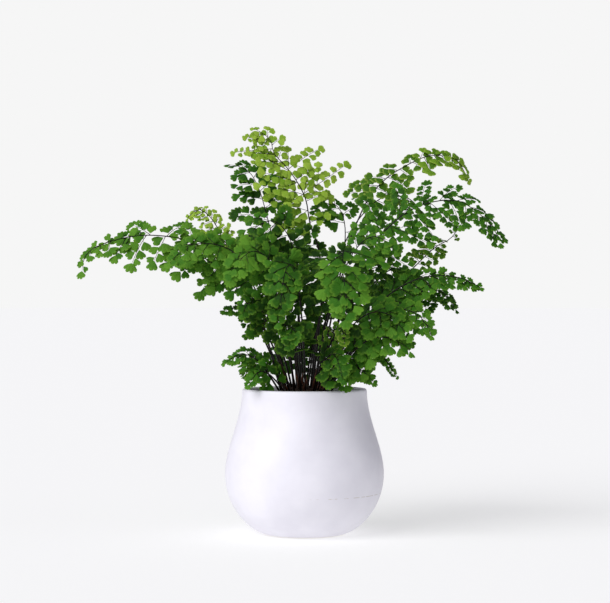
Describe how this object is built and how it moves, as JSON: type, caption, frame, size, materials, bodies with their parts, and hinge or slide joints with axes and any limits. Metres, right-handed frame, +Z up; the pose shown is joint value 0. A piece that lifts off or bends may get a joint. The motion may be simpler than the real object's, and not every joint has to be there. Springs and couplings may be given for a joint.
{
  "type": "potted fern",
  "caption": "Maidenhair fern with arching fronds of small fan-shaped leaflets, growing from a dark crown in a round-bellied glazed pot.",
  "frame": {"origin": "centre of the pot's flat base", "axes": "+Z up along the pot's axis, -Y towards the plant's front, +X to the right seen from the front"},
  "size_m": [0.4069, 0.2944, 0.4117],
  "materials": {
    "glaze": "satin white glaze",
    "soil": "moist crumbly potting mix",
    "rhizome": "scaly matt brown",
    "leaf": "thin soft green leaf",
    "young_leaf": "thin light green leaf",
    "stipe": "wiry polished black stalk"
  },
  "bodies": {
    "root": {"pot": "glaze", "potting_soil": "soil", "rhizome_crown": "rhizome", "frond_01_left_long": "leaf", "frond_02_left_young": "young_leaf", "frond_03_left_shoulder": "leaf", "frond_04_left_mid": "leaf", "frond_05_upper_left": "leaf", "frond_06_top_light": "young_leaf", "frond_07_fork": "leaf", "frond_08_right_top": "young_leaf", "frond_09_right_big": "leaf", "frond_10_right_thin": "young_leaf", "frond_11_right_mid": "leaf", "frond_12_right_under": "leaf", "frond_13_right_low": "leaf", "frond_14_right_shelf": "leaf", "frond_15_right_bottom": "leaf", "frond_16_right_rim": "leaf", "frond_17_front_centre": "leaf", "frond_18_left_low": "leaf", "frond_19_left_lower": "leaf", "frond_20_left_bottom": "leaf", "frond_21_left_rim": "leaf", "frond_22_centre_low": "leaf", "frond_23_front_left": "leaf", "frond_24_front_low_right": "leaf", "frond_25_front_young": "young_leaf", "frond_26_right_centre": "leaf", "frond_27_left_inner": "leaf", "frond_28_centre_left": "leaf", "frond_29_centre": "leaf", "frond_30_centre_top": "leaf", "frond_31_right_shoulder": "leaf", "frond_32_right_inner": "leaf", "frond_33_back_left": "leaf", "frond_34_back_left_low": "leaf", "frond_35_back_left_high": "leaf", "frond_36_back_low": "leaf", "frond_37_back": "leaf", "frond_38_back_middle_low": "leaf", "frond_39_back_right": "leaf", "frond_40_back_right_low": "leaf", "frond_41_right_back": "leaf", "frond_42_right_back_low": "leaf", "frond_43_back_right_high": "leaf"}
  },
  "joints": []
}
